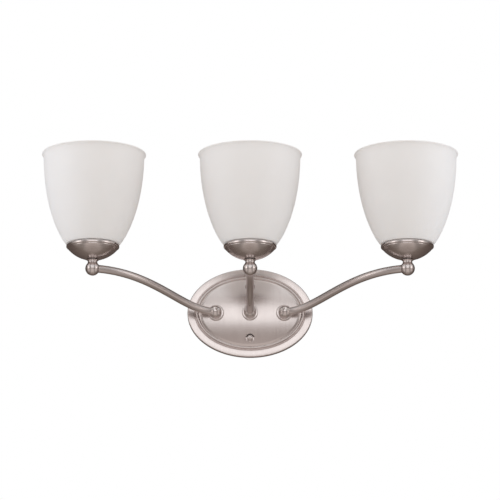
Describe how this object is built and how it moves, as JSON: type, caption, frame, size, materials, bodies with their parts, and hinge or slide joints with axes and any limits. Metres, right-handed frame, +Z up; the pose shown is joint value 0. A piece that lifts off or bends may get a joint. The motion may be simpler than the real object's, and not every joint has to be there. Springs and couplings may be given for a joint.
{
  "type": "vanity light bar",
  "caption": "Wall vanity light: oval stepped backplate, curved brushed nickel arms with ball couplings, and goblet opal glass shades open upwards.",
  "frame": {"origin": "middle of the mounting strap's back face, on the wall, at the centre of the oval backplate", "axes": "+Z up, +X along the row of lamps to the viewer's right, +Y into the wall; the light reaches out along -Y"},
  "size_m": [0.5586, 0.2, 0.2532],
  "materials": {
    "brushed_nickel": "satin brushed nickel plating, warm grey",
    "opal_glass": "cased opal white glass, satin etched outside",
    "zinc_steel": "zinc plated steel",
    "brass": "plain brass",
    "phenolic": "moulded black phenolic",
    "green_screw": "green passivated steel",
    "bare_copper": "bare copper wire",
    "black_lead": "black insulation",
    "white_lead": "white insulation"
  },
  "bodies": {
    "frame": {"backplate": "brushed_nickel", "mounting_strap": "zinc_steel", "stud_upper": "zinc_steel", "stud_lower": "zinc_steel", "ground_screw": "green_screw", "ground_wire": "bare_copper", "arm_knuckle_left": "brushed_nickel", "arm_tube_left": "brushed_nickel", "arm_ball_left": "brushed_nickel", "neck_left": "brushed_nickel", "shade_cup_left": "brushed_nickel", "root_nipple_left": "zinc_steel", "root_washer_left": "zinc_steel", "root_nut_left": "zinc_steel", "stem_nipple_left": "zinc_steel", "cup_nut_left": "zinc_steel", "socket_left": "phenolic", "screw_shell_left": "brass", "glass_shade_left": "opal_glass", "lead_black_left": "black_lead", "lead_white_left": "white_lead", "arm_knuckle_centre": "brushed_nickel", "arm_tube_centre": "brushed_nickel", "arm_ball_centre": "brushed_nickel", "neck_centre": "brushed_nickel", "shade_cup_centre": "brushed_nickel", "root_nipple_centre": "zinc_steel", "root_washer_centre": "zinc_steel", "root_nut_centre": "zinc_steel", "stem_nipple_centre": "zinc_steel", "cup_nut_centre": "zinc_steel", "socket_centre": "phenolic", "screw_shell_centre": "brass", "glass_shade_centre": "opal_glass", "lead_black_centre": "black_lead", "lead_white_centre": "white_lead", "arm_knuckle_right": "brushed_nickel", "arm_tube_right": "brushed_nickel", "arm_ball_right": "brushed_nickel", "neck_right": "brushed_nickel", "shade_cup_right": "brushed_nickel", "root_nipple_right": "zinc_steel", "root_washer_right": "zinc_steel", "root_nut_right": "zinc_steel", "stem_nipple_right": "zinc_steel", "cup_nut_right": "zinc_steel", "socket_right": "phenolic", "screw_shell_right": "brass", "glass_shade_right": "opal_glass", "lead_black_right": "black_lead", "lead_white_right": "white_lead"},
    "cap_nut_upper": {"cap_nut_upper": "brushed_nickel"},
    "cap_nut_lower": {"cap_nut_lower": "brushed_nickel"},
    "shade_ring_left": {"shade_ring_left": "phenolic"},
    "centre_contact_left": {"centre_contact_left": "brass"},
    "shade_ring_centre": {"shade_ring_centre": "phenolic"},
    "centre_contact_centre": {"centre_contact_centre": "brass"},
    "shade_ring_right": {"shade_ring_right": "phenolic"},
    "centre_contact_right": {"centre_contact_right": "brass"}
  },
  "joints": [
    {"name": "cap_nut_upper_turn", "type": "hinge", "parent": "frame", "child": "cap_nut_upper", "pos_m": [0, -0.0096, 0.0368], "axis": [0, -1, 0], "continuous": true},
    {"name": "cap_nut_lower_turn", "type": "hinge", "parent": "frame", "child": "cap_nut_lower", "pos_m": [0, -0.0096, -0.0368], "axis": [0, -1, 0], "continuous": true},
    {"name": "shade_ring_left_turn", "type": "hinge", "parent": "frame", "child": "shade_ring_left", "pos_m": [-0.21, -0.13, 0.0616], "axis": [0, 0, 1], "continuous": true},
    {"name": "centre_contact_left_press", "type": "slide", "parent": "frame", "child": "centre_contact_left", "axis": [0, 0, -1], "range_m": [0, 0.0016], "stiffness_N_per_m": 1500},
    {"name": "shade_ring_centre_turn", "type": "hinge", "parent": "frame", "child": "shade_ring_centre", "pos_m": [0, -0.13, 0.0616], "axis": [0, 0, 1], "continuous": true},
    {"name": "centre_contact_centre_press", "type": "slide", "parent": "frame", "child": "centre_contact_centre", "axis": [0, 0, -1], "range_m": [0, 0.0016], "stiffness_N_per_m": 1500},
    {"name": "shade_ring_right_turn", "type": "hinge", "parent": "frame", "child": "shade_ring_right", "pos_m": [0.21, -0.13, 0.0616], "axis": [0, 0, 1], "continuous": true},
    {"name": "centre_contact_right_press", "type": "slide", "parent": "frame", "child": "centre_contact_right", "axis": [0, 0, -1], "range_m": [0, 0.0016], "stiffness_N_per_m": 1500}
  ]
}
